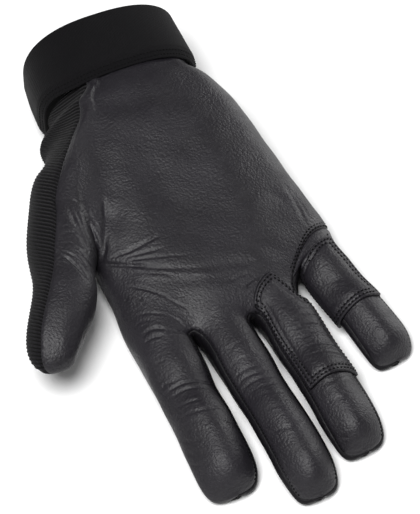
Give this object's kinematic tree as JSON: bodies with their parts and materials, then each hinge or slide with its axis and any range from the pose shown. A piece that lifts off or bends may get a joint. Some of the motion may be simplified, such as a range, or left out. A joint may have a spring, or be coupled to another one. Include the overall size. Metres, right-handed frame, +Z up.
{
  "type": "horse riding glove",
  "caption": "Close-fitting right-hand riding glove with a leather palm, ribbed knit back, rein patches and an elastic wrist band.",
  "frame": {"origin": "middle of the glove's footprint, on the surface it lies on", "axes": "+Z up out of the palm, fingers towards -Y, wrist band towards +Y, thumb towards -X, little finger towards +X"},
  "size_m": [0.1438, 0.225, 0.0426],
  "materials": {
    "leather": "fine grain, semi-matt black",
    "knit": "ribbed black stretch knit",
    "elastic": "matt black elastic band"
  },
  "bodies": {
    "root": {"palm_panel": "leather", "little_finger_front": "leather", "fourchette_index_middle": "leather", "fourchette_middle_ring": "leather", "fourchette_ring_little": "leather", "ring_finger_patch": "leather", "little_finger_patch": "leather", "back_panel": "knit", "cuff_band": "elastic"}
  },
  "joints": []
}
